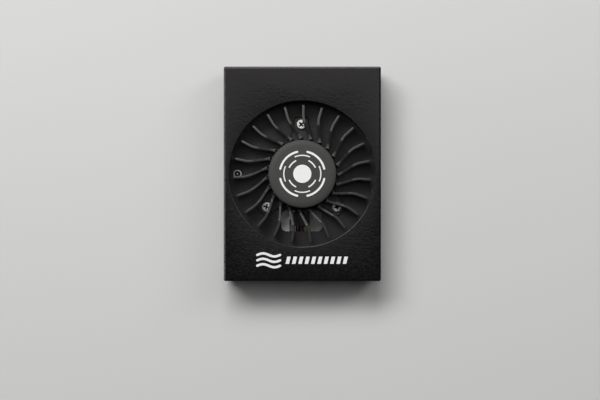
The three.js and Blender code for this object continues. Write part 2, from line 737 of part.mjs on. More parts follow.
function plugHousing() {
  const { x, rear, step, front, low, top, pitch } = PLUG;
  const centre = (low + top) / 2;
  const body = join(
    block(PLUG_WIDTH.rear, step - rear + JOINT, low, top, x, (rear + step + JOINT) / 2),
    block(PLUG_WIDTH.front, front - step, low, top, x, (front + step) / 2),
  );
  const ways = WAYS.flatMap((way) => {
    const wayX = x + way * pitch;
    const halfCavity = PLUG_CAVITY.height / 2;
    return [
      block(PLUG_CAVITY.width, LENGTH, centre - halfCavity, centre + halfCavity, wayX, rear),
      block(PLUG_SLOT.width, PLUG_SLOT.length, top - PLUG_SLOT.depth, HEIGHT, wayX, PLUG_SLOT.y),
    ];
  });
  const notches = [-1, 1].map((side) => {
    const notchX = x + side * PLUG_NOTCH.offset;
    return block(PLUG_NOTCH.width, 2 * PLUG_NOTCH.length, top - PLUG_NOTCH.depth, HEIGHT, notchX, front);
  });
  return cut(body, ...ways, ...notches);
}

function plugPieces() {
  const centre = (PLUG.low + PLUG.top) / 2;
  const [low, high] = [centre - CONTACT.height / 2, centre + CONTACT.height / 2];
  const contacts = WAYS.map((way, i) => {
    const contact = block(CONTACT.width, CONTACT.length, low, high, PLUG.x + way * PLUG.pitch, CONTACT.y);
    return piece(`plug_contact_${i + 1}`, contact, BRASS);
  });
  return [piece('plug_housing', plugHousing(), NYLON_WHITE), ...contacts];
}

function leadPieces() {
  const wires = Object.entries(WIRE_COLOURS).map(([colour, material], i) =>
    piece(`lead_${colour}`, wire(WAYS[i]), material),
  );
  return [...wires, leadSleeve(), ...plugPieces()];
}

// ---------------------------------------------------------------------------------------------
// The cooler
// ---------------------------------------------------------------------------------------------

const housing = new THREE.Group();
housing.add(
  piece('heatsink_base', heatsinkBase(), ANODISED_BLACK),
  piece('upper_fin_bank', finBank(1), ANODISED_BLACK),
  piece('lower_fin_bank', finBank(-1), ANODISED_BLACK),
  piece('top_cover', topCover(), PAINTED_BLACK),
  piece('side_insert', sideInsert(), NICKEL),
  piece('side_pin', sidePin(), NICKEL),
  ...coverScrews(),
  ...thermalPads(),
);

const motor = new THREE.Group();
motor.add(
  piece('fan_bracket', fanBracket(), MOULDED_BLACK),
  ...fanScrews(),
  ...bearingPieces(),
  ...boardPieces(),
  ...statorPieces(),
);

const rotor = new THREE.Group();
rotor.add(...rotorPieces());

const lead = new THREE.Group();
lead.add(...leadPieces());

const cooler = new THREE.Group();
cooler.add(housing, motor, rotor, lead);

export default cooler;
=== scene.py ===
"""Looks of the low-profile active cooler: finned heatsink, flat cover, radial blower and its lead.

Shapes are made in millimetres and scaled to metres when they become pieces. The origin is the
middle of the footprint on the floor, on the fan's axis; +Y runs away from the lead's window.
"""

import math

import bmesh
import bpy
from mathutils import Matrix, Vector


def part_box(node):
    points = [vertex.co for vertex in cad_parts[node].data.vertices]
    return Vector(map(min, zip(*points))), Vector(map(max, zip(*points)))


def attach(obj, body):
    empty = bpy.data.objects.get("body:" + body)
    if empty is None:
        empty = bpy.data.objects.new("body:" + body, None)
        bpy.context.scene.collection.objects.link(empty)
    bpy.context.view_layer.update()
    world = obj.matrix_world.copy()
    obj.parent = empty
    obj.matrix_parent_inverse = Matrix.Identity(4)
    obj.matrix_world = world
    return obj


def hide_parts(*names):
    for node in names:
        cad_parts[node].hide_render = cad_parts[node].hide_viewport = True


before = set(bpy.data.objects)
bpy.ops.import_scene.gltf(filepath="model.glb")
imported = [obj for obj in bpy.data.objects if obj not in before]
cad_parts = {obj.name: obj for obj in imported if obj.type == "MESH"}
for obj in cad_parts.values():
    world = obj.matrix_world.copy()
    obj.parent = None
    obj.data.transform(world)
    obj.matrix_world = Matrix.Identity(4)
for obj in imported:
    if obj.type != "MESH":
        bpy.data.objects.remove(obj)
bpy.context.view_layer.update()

MM = 0.001


def box(node):
    """Lowest and highest corner of a CAD node at rest, in millimetres."""
    low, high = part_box(node)
    return low / MM, high / MM


def centre(node):
    low, high = box(node)
    return (low + high) / 2


# ------------------------------------------------------------
# Dimensions: the frame's own where a node gives them, then those of shapes inside a node
# ------------------------------------------------------------

COVER_BOX, BASE_BOX = box("top_cover"), box("heatsink_base")
WIDTH, LENGTH, HEIGHT = (COVER_BOX[1] - COVER_BOX[0]).xy.to_tuple() + (COVER_BOX[1].z,)
SKIRT_LOW = COVER_BOX[0].z
BASE_WIDTH, BASE_TOP = BASE_BOX[1].x - BASE_BOX[0].x, BASE_BOX[1].z
BASE_LOW = box("memory_thermal_pad")[1].z
PEDESTAL_LOW = box("processor_thermal_pad")[1].z
BRACKET_LOW, BRACKET_TOP = box("fan_bracket")[0].z, box("fan_bracket")[1].z
HUB_TOP, BLADE_TIP = box("impeller")[1].z, box("impeller")[1].y
FIN_TOP, FIN_OUTER_Y = box("upper_fin_bank")[1].z, box("upper_fin_bank")[1].y

COVER_LOW = 12.5
SKIRT = 1.0
CORNER_RADIUS = 0.6
EDGE = {"width": 0.5, "drop": 0.42, "soft": 0.06}
INTAKE_RADIUS = 23.6
WINDOW = {"width": 13.6, "length": 7.0, "radius": 1.8, "x": -0.15, "y": -15.4}
LEAD_CHANNEL = {"x": -0.45, "width": 4.6, "low": 4.5}
PEDESTAL_SIZE = 22.0
FOOT = {"x": 21.5, "y": 31.3, "radius": 2.5, "hole": 0.85, "depth": 4.5}
POCKET_GAP = 0.25
BRACKET = {"disc": 9.5, "ear": 4.7, "ear_radius": 1.0, "root": 5.2, "root_reach": 5.0}
BEARING_TUBE_RADIUS = 2.6
FIN = {"count": 31, "pitch": 1.6, "thickness": 0.3, "inner_radius": 24.6, "widest": 24.2,
       "flange": 0.28, "gap": 0.06}
HUB = {"radius": 11.0, "wall": 0.75, "low": 6.6, "edge": 0.2, "rim": 10.75}
CAP = {"flat": 9.3, "fall": 0.14}
BLADE = {"count": 23, "first": 89.0, "low": 6.8, "thickness": 0.82, "draft": 0.04}
BLADE_TOP = {"inner": 9.8, "crest": 12.2, "tip": 11.65}
BLADE_STEP = {"inner": 13.1, "outer": 16.6}
BLADE_BEND = {"radius": 19.0, "span": 8.0, "degrees": 14.4, "power": 1.7}
BLADE_ROOT = {"flare": 12.4, "reach": 0.72, "widening": 0.45, "rise": 0.1, "notch": 11.66,
              "slope": 2.9, "depth": 1.75}
BLADE_END = {"length": 0.3, "fall": 0.12, "narrowest": 0.2}

# The lead's middle line, as [x, y, z, distance between wires], from the motor board to the plug.
LEAD_ROUTE = [
    [-0.45, -8.95, 5.75, 0.95],
    [-0.45, -10.3, 5.75, 1.0],
    [-0.45, -11.5, 5.6, 1.0],
    [-0.45, -12.4, 5.15, 1.0],
    [-0.45, -14.0, 4.217, 1.0],
    [-0.45, -15.6, 3.283, 1.0],
    [-0.45, -17.2, 2.35, 1.0],
    [-0.45, -18.6, 1.55, 0.98],
    [-0.45, -20.4, 0.8, 0.9],
    [-0.45, -22.6, 0.45, 0.82],
    [-0.45, -25.0, 0.42, 0.8],
    [-0.45, -27.0, 0.42, 0.8],
    [-1.358, -29.192, 0.42, 0.8],
    [-3.55, -30.1, 0.42, 0.8],
    [-5.742, -29.192, 0.42, 0.8],
    [-6.65, -27.0, 0.42, 0.8],
    [-6.65, -24.6, 0.5, 0.85],
    [-6.65, -22.2, 1.0, 0.95],
    [-6.65, -19.8, 1.5, 1.0],
]
WIRE_RADIUS = 0.35
# Each wire's place in the row, in wire distances from its middle.
WAYS = {"brown": -1.5, "black": -0.5, "red": 0.5, "yellow": 1.5}
SLEEVE = {"start": 3, "end": 6, "inset": 0.35, "x": -0.225, "width": 5.35, "height": 1.5,
          "wall": 0.25}
SLEEVE_WAVE = {"outside": 0.12, "inside": 0.1, "half_width": 1.6, "step": 0.12}
PLUG = {"rear": -19.5, "step": -15.2, "front": -14.0, "pitch": 1.0, "rear_width": 4.8}
PLUG_WAY = {"width": 0.62, "half_height": 0.45}
PLUG_WINDOW = {"width": 0.42, "length": 2.2, "y": -17.4, "depth": 0.9}
PLUG_NOTCH = {"width": 0.56, "length": 0.9, "depth": 1.2}
FAN_SCREW = {"hole": 1.1, "shank": 0.95, "edge": 0.32, "cross": 1.0, "wing": 0.56, "depth": 0.8}
COVER_SCREW = {"hole": 0.72, "tapped": 0.7, "shank": 0.6, "length": 3.0, "cross": 0.62,
               "wing": 0.26, "depth": 0.42}
INSERT = {"bore": 0.98, "lead_in": 0.15, "pin": 0.32}


# ------------------------------------------------------------
# Camera: straight down, so far above the cover that its sides hardly show
# ------------------------------------------------------------

CAMERA = {"x": -0.75, "y": -8.5, "distance": 450.0, "field": 194.5, "sensor": 36.0}


def make_camera():
    data = bpy.data.cameras.new("camera")
    data.sensor_width = CAMERA["sensor"]
    data.lens = CAMERA["sensor"] * CAMERA["distance"] / CAMERA["field"]
    data.clip_start, data.clip_end = 0.01, 20.0
    camera = bpy.data.objects.new("camera", data)
    camera.location = Vector((CAMERA["x"], CAMERA["y"], HEIGHT + CAMERA["distance"])) * MM
    bpy.context.scene.collection.objects.link(camera)
    bpy.context.scene.camera = camera


make_camera()


# ------------------------------------------------------------
# Materials
# ------------------------------------------------------------


class Nodes:
    """A material's node tree, with short ways to add and link its nodes."""

    def __init__(self, name):
        self.material = bpy.data.materials.new(name)
        self.material.use_nodes = True
        self.tree = self.material.node_tree
        self.shader = self.tree.nodes["Principled BSDF"]
        self.place = self.tree.nodes.new("ShaderNodeTexCoord").outputs["Object"]

    def add(self, kind, inputs=None, **settings):
        node = self.tree.nodes.new("ShaderNode" + kind)
        for key, value in settings.items():
            setattr(node, key, value)
        for key, value in (inputs or {}).items():
            self.feed(node.inputs[key], value)
        return node

    def feed(self, socket, value):
        if isinstance(value, bpy.types.NodeSocket):
            self.tree.links.new(value, socket)
        else:
            socket.default_value = value

    def noise(self, scale, detail=3.0, **inputs):
        inputs = {"Vector": self.place, "Scale": scale, "Detail": detail, **inputs}
        return self.add("TexNoise", inputs).outputs["Fac"]

    def math(self, operation, first, second=0.0):
        return self.add("Math", {0: first, 1: second}, operation=operation).outputs[0]

    def spread(self, value, low, high, from_low=0.3, from_high=0.7):
        """The value's range from from_low to from_high, stretched to one from low to high."""
        inputs = {"Value": value, "From Min": from_low, "From Max": from_high,
                  "To Min": low, "To Max": high}
        return self.add("MapRange", inputs).outputs["Result"]

    def between(self, factor, first, second):
        """A mix of two colours; 6, 7 and 2 are the Mix node's colour sockets."""
        inputs = {"Factor": factor, 6: first, 7: second}
        return self.add("Mix", inputs, data_type="RGBA").outputs[2]

    def bump(self, height, strength, distance, normal=None):
        inputs = {"Height": height, "Strength": strength, "Distance": distance * MM}
        node = self.add("Bump", inputs)
        if normal:
            self.feed(node.inputs["Normal"], normal)
        return node.outputs["Normal"]

    def stretched(self, x, y, z):
        """The object's coordinates, scaled by a factor along each axis."""
        inputs = {"Vector": self.place, "Scale": (x, y, z)}
        return self.add("Mapping", inputs).outputs["Vector"]

    def set(self, **inputs):
        for key, value in inputs.items():
            self.feed(self.shader.inputs[key.replace("_", " ")], value)
        return self.material


def grey(value):
    return (value, value, value, 1.0)


def shade(colour, factor):
    return tuple(min(1.0, part * factor) for part in colour[:3]) + (1.0,)


def grained(name, colour, roughness, metallic=0.0, mottle=0.15, mottle_scale=150.0,
            grain=0.03, grain_scale=3000.0, bump=0.15, depth=0.02, **more):
    """A surface with cloudy colour, and a fine grain in its roughness and relief."""
    nodes = Nodes(name)
    clouds = nodes.noise(mottle_scale, 5.0)
    fine = nodes.noise(grain_scale, 2.0)
    nodes.set(
        Base_Color=nodes.between(clouds, shade(colour, 1 - mottle), shade(colour, 1 + mottle)),
        Roughness=nodes.spread(fine, roughness - grain, roughness + grain),
        Metallic=metallic,
        Normal=nodes.bump(fine, bump, depth),
        **more,
    )
    return nodes.material


def crinkled_paint():
    """Black powder coating with a finely crinkled skin, like leather; its ridges carry a painted
    highlight and its hollows painted shade.
    """
    nodes = Nodes("cover_paint")
    crinkle = nodes.noise(1600.0, 3.0, Roughness=0.5)
    grain = nodes.noise(3600.0, 2.0)
    clouds = nodes.spread(nodes.noise(60.0, 3.0), 0.85, 1.15)
    # Painted highlight and shade: the colour follows the crinkle that also makes the bump, paler on
    # ridges and darker in hollows, with random clouds.
    ridges = nodes.spread(crinkle, 0.0, 1.0, 0.38, 0.62)
    ridge_highlight_and_clouds = nodes.math("MULTIPLY", ridges, clouds)
    nodes.set(
        Base_Color=nodes.between(ridge_highlight_and_clouds, grey(0.0022), grey(0.0058)),
        Roughness=nodes.spread(crinkle, 0.16, 0.23),
        Normal=nodes.bump(grain, 0.4, 0.01, nodes.bump(crinkle, 1.0, 0.037)),
        Specular_IOR_Level=0.45,
        Specular_Tint=(1.0, 0.94, 0.965, 1),
    )
    return nodes.material


def anodised():
    """Black anodised metal, turned on a lathe: fine rings round the fan's axis."""
    nodes = Nodes("black_anodised")
    flat = nodes.add("VectorMath", {0: nodes.place, 1: (1, 1, 0)}, operation="MULTIPLY").outputs[0]
    radius = nodes.add("VectorMath", {0: flat}, operation="LENGTH").outputs["Value"]

    def rings_of(scale, detail):
        inputs = {"W": nodes.math("MULTIPLY", radius, scale), "Scale": 1.0, "Detail": detail}
        return nodes.add("TexNoise", inputs, noise_dimensions="1D").outputs["Fac"]

    rings, bands = rings_of(5000.0, 4.0), rings_of(900.0, 1.0)
    clouds = nodes.noise(220.0, 4.0)
    grain = nodes.bump(nodes.noise(6000.0, 2.0), 0.1, 0.01)
    colour = nodes.between(clouds, grey(0.010), grey(0.017))
    nodes.set(
        Base_Color=nodes.between(nodes.spread(bands, 0.0, 0.35), colour, grey(0.026)),
        Roughness=nodes.spread(rings, 0.42, 0.6),
        Metallic=0.0,
        Normal=nodes.bump(rings, 0.35, 0.012, grain),
    )
    return nodes.material


def wound(name, colour, pitch, axis_scale, roughness, metallic):
    """Turns of wire or stacked sheets: fine ridges across the piece, a pitch apart."""
    nodes = Nodes(name)
    inputs = {"Vector": nodes.stretched(*axis_scale), "Scale": 0.5 / (pitch * MM),
              "Distortion": 0.4, "Detail": 1.0}
    ridges = nodes.add("TexWave", inputs, bands_direction="DIAGONAL").outputs["Fac"]
    nodes.set(
        Base_Color=nodes.between(ridges, shade(colour, 0.55), shade(colour, 1.1)),
        Roughness=nodes.spread(nodes.noise(1500.0), roughness - 0.06, roughness + 0.08),
        Metallic=metallic,
        Normal=nodes.bump(ridges, 0.6, pitch * 0.3),
    )
    return nodes.material


def circuit_board():
    """Green solder mask with the faint ridges of tracks under it."""
    nodes = Nodes("board")
    inputs = {"Vector": nodes.place, "Scale": 900.0, "Mortar Size": 0.05}
    tracks = nodes.add("TexBrick", inputs).outputs["Fac"]
    mask = nodes.between(nodes.noise(300.0), (0.008, 0.05, 0.028, 1), (0.012, 0.07, 0.04, 1))
    nodes.set(
        Base_Color=nodes.between(tracks, mask, (0.02, 0.1, 0.05, 1)),
        Roughness=nodes.spread(nodes.noise(2000.0), 0.3, 0.42),
        Normal=nodes.bump(tracks, 0.3, 0.02),
    )
    return nodes.material


# How wide the painted shade reaches in a screw's recess or the insert's bore, and how far below the
# top it starts.
RECESS_SHADE = {"screw": 1.1, "screw_below": 0.05, "insert": 0.95, "insert_below": 0.1, "blur": 0.05,
          "fade": 0.15}


def plated():
    """Nickel plating, with painted shade, dark and dull, in the fan screws' recesses and in the
    insert's bore.
    """
    nodes = Nodes("nickel")
    fine = nodes.noise(3000.0, 2.0)
    flat = nodes.add("VectorMath", {0: nodes.place, 1: (1, 1, 0)}, operation="MULTIPLY").outputs[0]
    height = nodes.add("SeparateXYZ", {0: nodes.place}).outputs["Z"]
    painted_shade = 0.0
    holes = []
    for node in (f"fan_screw_{i}" for i in range(1, 4)):
        holes.append((centre(node), RECESS_SHADE["screw"], box(node)[1].z - RECESS_SHADE["screw_below"]))
    pin_top = box("side_pin")[1].z
    holes.append((centre("side_insert"), RECESS_SHADE["insert"], pin_top - RECESS_SHADE["insert_below"]))
    # Painted shade: inside each hole's radius and below its top, the colour goes dark and the metal
    # dull.
    for middle, radius, top in holes:
        axis = (middle.x * MM, middle.y * MM, 0.0)
        away = nodes.add("VectorMath", {0: flat, 1: axis}, operation="DISTANCE").outputs["Value"]
        inner, outer = radius - RECESS_SHADE["blur"], radius + RECESS_SHADE["blur"]
        inside = nodes.spread(away, 1.0, 0.0, inner * MM, outer * MM)
        below = nodes.spread(height, 1.0, 0.0, (top - RECESS_SHADE["fade"]) * MM, top * MM)
        painted_shade = nodes.math("MAXIMUM", painted_shade, nodes.math("MULTIPLY", inside, below))
    bare_nickel = nodes.between(nodes.noise(900.0, 5.0), (0.93, 0.90, 0.87, 1), (1.0, 0.97, 0.94, 1))
    nodes.set(
        Base_Color=nodes.between(painted_shade, bare_nickel, grey(0.012)),
        Roughness=nodes.spread(fine, 0.52, 0.64),
        Metallic=nodes.spread(painted_shade, 1.0, 0.0, 0.0, 1.0),
        Normal=nodes.bump(fine, 0.1, 0.01),
    )
    return nodes.material


MATERIALS = {
    "cover_paint": crinkled_paint(),
    "black_anodised": anodised(),
    "black_plastic": grained("black_plastic", grey(0.030), 0.45, mottle=0.12, mottle_scale=260.0,
                             grain=0.04, grain_scale=3500.0, bump=0.15, depth=0.01,
                             Specular_IOR_Level=0.55),
    "label_film": grained("label_film", (0.039, 0.038, 0.036, 1), 0.6, mottle=0.05,
                          mottle_scale=400.0, grain_scale=5000.0, bump=0.12, depth=0.01),
    "white_print": grained("white_print", (0.93, 0.93, 0.92, 1), 0.55, mottle=0.05,
                           mottle_scale=900.0, bump=0.2),
    "nickel": plated(),
    "steel": grained("steel", (0.52, 0.52, 0.51, 1), 0.34, 1.0, mottle=0.08, mottle_scale=700.0),
    "lamination": wound("lamination", (0.32, 0.32, 0.34, 1), 0.35, (0, 0, 1), 0.42, 1.0),
    "brass": grained("brass", (0.62, 0.42, 0.16, 1), 0.33, 1.0, mottle=0.1, mottle_scale=800.0),
    "bronze": grained("bronze", (0.40, 0.21, 0.09, 1), 0.45, 1.0, mottle=0.2, mottle_scale=2500.0),
    "copper_wire": wound("copper_wire", (0.62, 0.22, 0.07, 1), 0.16, (0.4, 0.4, 1), 0.3, 1.0),
    "magnet": grained("magnet", grey(0.03), 0.78, mottle=0.2, mottle_scale=1200.0, bump=0.4),
    "board": circuit_board(),
    "chip": grained("chip", grey(0.012), 0.55, mottle=0.1, mottle_scale=1500.0),
    "white_nylon": grained("white_nylon", (0.95, 0.94, 0.91, 1), 0.42, mottle=0.04,
                           mottle_scale=500.0, bump=0.12, depth=0.01),
    "sleeve": grained("sleeve", grey(0.10), 0.55, mottle_scale=600.0, grain=0.08, bump=0.3),
    "thermal_pad": grained("thermal_pad", (0.30, 0.34, 0.37, 1), 0.85, mottle=0.16,
                           mottle_scale=1400.0, grain=0.05, grain_scale=5000.0, bump=0.5,
                           depth=0.03),
}
WIRE_COLOURS = {"brown": (0.06, 0.014, 0.012, 1), "black": grey(0.010),
                "red": (0.19, 0.022, 0.016, 1), "yellow": (0.44, 0.31, 0.13, 1)}
for name, colour in WIRE_COLOURS.items():
    slot = f"wire_{name}"
    MATERIALS[slot] = grained(slot, colour, 0.4, mottle=0.12, mottle_scale=700.0)


# ------------------------------------------------------------
# Shapes, in millimetres
# ------------------------------------------------------------


def arc(x, y, radius, start, end, steps):
    angles = [start + (end - start) * i / steps for i in range(steps + 1)]
    return [(x + radius * math.cos(angle), y + radius * math.sin(angle)) for angle in angles]


def circle(radius, sides, x=0.0, y=0.0):
    return arc(x, y, radius, 0, 2 * math.pi, sides)[:-1]


def rounded_rectangle(width, length, radius, x=0.0, y=0.0, steps=6):
    across, along, quarter = width / 2 - radius, length / 2 - radius, math.pi / 2
    corners = [(across, along), (-across, along), (-across, -along), (across, -along)]
    points = []
    for i, (dx, dy) in enumerate(corners):
        points += arc(x + dx, y + dy, radius, i * quarter, (i + 1) * quarter, steps)
    return points


def closed_mesh(points, faces):
    """A mesh in millimetres whose faces all look outwards."""
    mesh = bpy.data.meshes.new("shape")
    mesh.from_pydata([tuple(point) for point in points], [], faces)
    work = bmesh.new()
    work.from_mesh(mesh)
    bmesh.ops.recalc_face_normals(work, faces=work.faces)
    work.to_mesh(mesh)
    work.free()
    return mesh


def loft(sections):
    """A closed skin over a row of sections that have the same number of corners."""
    count = len(sections[0])
    last = (len(sections) - 1) * count
    faces = [tuple(range(count)), tuple(range(last, last + count))]
    for start in range(0, last, count):
        for i in range(count):
            a, b = start + i, start + (i + 1) % count
            faces.append((a, b, b + count, a + count))
    return closed_mesh([point for section in sections for point in section], faces)


def stack(outline, levels):
    """A solid through outline(growth) at each level, given as (height, growth)."""
    return loft([[(x, y, z) for x, y in outline(growth)] for z, growth in levels])


def slab(outline, low, high, chamfer=0.0, low_chamfer=0.0):
    """An upright plate on outline(growth), with chamfered edges."""
    levels = [(low, -low_chamfer), (low + low_chamfer, 0.0), (high - chamfer, 0.0),
              (high, -chamfer)]
    kept = [level for i, level in enumerate(levels) if i == 0 or level != levels[i - 1]]
    return stack(outline, kept)


def mouth(outline, low, surface, chamfer=0.0):
    """A cutter on outline(growth) whose hole has a chamfered edge in the surface above it."""
    over = 1.0
    if chamfer == 0.0:
        return stack(outline, [(low, 0.0), (surface + over, 0.0)])
    edge = [(surface - chamfer, 0.0), (surface, chamfer)]
    return stack(outline, [(low, 0.0), *edge, (surface + over, chamfer)])


def rounded_mouth(outline, low, surface, radius, steps=8):
    """A cutter on outline(growth) whose hole has a rounded edge in the surface above it."""
    angles = [math.pi / 2 * i / steps for i in range(steps + 1)]
    edge = [(surface - radius * (1 - math.sin(t)), radius * (1 - math.cos(t))) for t in angles]
    over = 1.0
    return stack(outline, [(low, 0.0), *edge, (surface + over, radius)])


def disc_outline(radius, sides=64, x=0.0, y=0.0):
    return lambda growth: circle(radius + growth, sides, x, y)


def rectangle_outline(width, length, radius, x=0.0, y=0.0, steps=6):
    def outline(growth):
        sides = width + 2 * growth, length + 2 * growth
        return rounded_rectangle(*sides, radius + growth, x, y, steps)
    return outline


def turned(profile, sides=96):
    """A solid turned about Z from (radius, height) corners, closed on the axis or on itself."""
    points, rings = [], []
    for radius, height in profile:
        ring = [(0.0, 0.0)] if radius == 0 else circle(radius, sides)
        rings.append(list(range(len(points), len(points) + len(ring))))
        points += [(x, y, height) for x, y in ring]
    on_axis = profile[0][0] == 0 and profile[-1][0] == 0
    faces = []
    for first, second in zip(rings, rings[1:] + ([] if on_axis else rings[:1])):
        for i in range(sides):
            j = (i + 1) % sides
            corners = [(first, i), (first, j), (second, j), (second, i)]
            unique = list(dict.fromkeys(ring[k % len(ring)] for ring, k in corners))
            if len(unique) > 2:
                faces.append(tuple(unique))
    return closed_mesh(points, faces)


def moved(mesh, matrix):
    mesh.transform(matrix)
    return mesh


def shift(x=0.0, y=0.0, z=0.0):
    return Matrix.Translation((x, y, z))


def turn(angle, axis="Z"):
    return Matrix.Rotation(angle, 4, axis)


def evaluated(body, helpers=()):
    """The body's mesh with its modifiers applied; the body and its helpers are then removed."""
    graph = bpy.context.evaluated_depsgraph_get()
    mesh = bpy.data.meshes.new_from_object(body.evaluated_get(graph))
    for thing in [body, *helpers]:
        bpy.data.objects.remove(thing)
    return mesh


def linked(mesh, name="work"):
    thing = bpy.data.objects.new(name, mesh)
    bpy.context.scene.collection.objects.link(thing)
    return thing


def carved(mesh, joined=(), cut=()):
    """The mesh with the first meshes joined to it and the others cut out of it."""
    body = linked(mesh)
    helpers = []
    for operation, tools in (("UNION", joined), ("DIFFERENCE", cut)):
        for tool in tools:
            helper = linked(tool)
            modifier = body.modifiers.new("carve", "BOOLEAN")
            modifier.solver = "MANIFOLD"
            modifier.operation = operation
            modifier.object = helper
            helpers.append(helper)
    return evaluated(body, helpers)


def merged(meshes):
    """Several closed meshes as one, without joining their surfaces."""
    work = bmesh.new()
    for mesh in meshes:
        work.from_mesh(mesh)
    whole = bpy.data.meshes.new("shape")
    work.to_mesh(whole)
    work.free()
    return whole


def piece(name, mesh, slot, body, replaced=(), smooth_degrees=32.0):
    """A finished piece, in metres, on its body, with its material and the nodes it stands for."""
    mesh.transform(Matrix.Scale(MM, 4))
    mesh.shade_smooth()
    mesh.set_sharp_from_angle(angle=math.radians(smooth_degrees))
    mesh.materials.clear()
    mesh.materials.append(MATERIALS[slot])
    thing = linked(mesh, name)
    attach(thing, body)
    if replaced:
        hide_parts(*replaced)
    return thing


# ------------------------------------------------------------
# Lead: four free wires, from the motor board through the window and round to the plug
# ------------------------------------------------------------


def wire_stops(place):
    """The lead's middle line, moved sideways in plan by a wire's place in the row."""
    stops = []
    for i, (x, y, z, spacing) in enumerate(LEAD_ROUTE):
        before, after = LEAD_ROUTE[max(i - 1, 0)], LEAD_ROUTE[min(i + 1, len(LEAD_ROUTE) - 1)]
        along = Vector((after[0] - before[0], after[1] - before[1])).normalized()
        stops.append(Vector((x - along.y * spacing * place, y + along.x * spacing * place, z)))
    return stops


def weighted(first, second, start, end, t):
    """The point between two others that belongs to t, where they belong to start and end."""
    return (first * (end - t) + second * (t - start)) / (end - start)


def smooth_path(stops, steps=8):
    """Points on the centripetal Catmull-Rom curve through the stops."""
    ends = [2 * stops[0] - stops[1], *stops, 2 * stops[-1] - stops[-2]]
    path = [stops[0]]
    for i in range(1, len(ends) - 2):
        p = ends[i - 1:i + 3]
        knots = [0.0]
        for a, b in zip(p, p[1:]):
            knots.append(knots[-1] + (b - a).length ** 0.5)
        for step in range(1, steps + 1):
            t = knots[1] + (knots[2] - knots[1]) * step / steps
            row = list(p)
            for reach in (1, 2):
                row = [weighted(row[j], row[j + 1], knots[j], knots[j + reach], t)
                       for j in range(len(row) - 1)]
            path.append(weighted(row[0], row[1], knots[1], knots[2], t))
    return path


def wire(colour, place):
    path = smooth_path(wire_stops(place))
    curve = bpy.data.curves.new(f"wire_{colour}", "CURVE")
    curve.dimensions = "3D"
    curve.bevel_depth = WIRE_RADIUS * MM
    curve.bevel_resolution = 5
    curve.use_fill_caps = True
    spline = curve.splines.new("POLY")
    spline.points.add(len(path) - 1)
    for point, stop in zip(spline.points, path):
        point.co = (*(stop * MM), 1.0)
    curve.materials.append(MATERIALS[f"wire_{colour}"])
    thing = linked(curve, f"wire_{colour}")
    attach(thing, "housing")
    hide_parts(f"lead_{colour}")
    length = sum((b - a).length for a, b in zip(path, path[1:]))
    return thing, path[0] * MM, length * MM


wires = {colour: wire(colour, place) for colour, place in WAYS.items()}


# ------------------------------------------------------------
# Plug and sleeve on the lead
# ------------------------------------------------------------


def plug_shell():
    """A stepped block with a way, a contact window and a front notch for each of its four wires."""
    low, high = box("plug_housing")
    x, front_width = (low.x + high.x) / 2, high.x - low.x
    middle = (low.z + high.z) / 2
    overlap = 0.4
    rear_length = PLUG["step"] - PLUG["rear"] + overlap
    front_length = PLUG["front"] - PLUG["step"]

    def block(width, length, edge, start):
        outline = rectangle_outline(width, length, edge[0], x, start + length / 2, 3)
        return slab(outline, low.z, high.z, edge[1], edge[1])

    rear = block(PLUG["rear_width"], rear_length, (0.12, 0.1), PLUG["rear"])
    front = block(front_width, front_length, (0.15, 0.12), PLUG["step"])
    cutters = []
    for place in WAYS.values():
        way_x = x + place * PLUG["pitch"]
        way = rectangle_outline(PLUG_WAY["width"], 20.0, 0.08, way_x, PLUG["rear"], 2)
        window = rectangle_outline(PLUG_WINDOW["width"], PLUG_WINDOW["length"], 0.1, way_x,
                                   PLUG_WINDOW["y"], 3)
        notch = rectangle_outline(PLUG_NOTCH["width"], PLUG_NOTCH["length"], 0.2, way_x,
                                  PLUG["front"], 4)
        reach = PLUG_WAY["half_height"]
        cutters.append(slab(way, middle - reach, middle + reach))
        cutters.append(mouth(window, high.z - PLUG_WINDOW["depth"], high.z, 0.05))
        cutters.append(mouth(notch, high.z - PLUG_NOTCH["depth"], high.z, 0.06))
    return carved(rear, [front], cutters)


def sleeve_outline(growth, wave):
    """A flat tube's outline, whose two broad sides dip by a wave between the wires."""
    height = SLEEVE["height"]
    flat = rounded_rectangle(SLEEVE["width"] + 2 * growth, height + 2 * growth,
                             height / 2 + growth - 0.02, steps=10)
    dense = []
    for (ax, ay), (bx, by) in zip(flat, flat[1:] + flat[:1]):
        parts = max(1, round(math.hypot(bx - ax, by - ay) / SLEEVE_WAVE["step"]))
        dense += [(ax + (bx - ax) * i / parts, ay + (by - ay) * i / parts) for i in range(parts)]
    row_x, _, _, pitch = LEAD_ROUTE[SLEEVE["start"]]
    waved = []
    for x, y in dense:
        dip = wave * (0.5 + 0.5 * math.cos(2 * math.pi * (x - (row_x - SLEEVE["x"])) / pitch))
        over_wires = abs(x) < SLEEVE_WAVE["half_width"]
        waved.append((x, y - math.copysign(dip * over_wires, y)))
    return waved


def lead_sleeve():
    """A flat shrunk tube over the wires, whose skin follows them in shallow waves."""
    start, end = (Vector(LEAD_ROUTE[SLEEVE[key]][:3]) for key in ("start", "end"))
    along = (end - start).normalized()
    length = (end - start).length - 2 * SLEEVE["inset"]
    edge, rounding = 0.12, -0.08
    skin = ((0, rounding), (edge, 0), (length - edge, 0), (length, rounding))
    outer = loft([[(x, y, z) for x, y in sleeve_outline(growth, SLEEVE_WAVE["outside"])]
                  for z, growth in skin])
    inner = loft([[(x, y, z) for x, y in sleeve_outline(-SLEEVE["wall"], SLEEVE_WAVE["inside"])]
                  for z in (-1, length + 1)])
    tilt = math.atan2(-along.y, along.z)
    foot = start + along * SLEEVE["inset"]
    return moved(carved(outer, cut=[inner]), shift(SLEEVE["x"], foot.y, foot.z) @ turn(tilt, "X"))


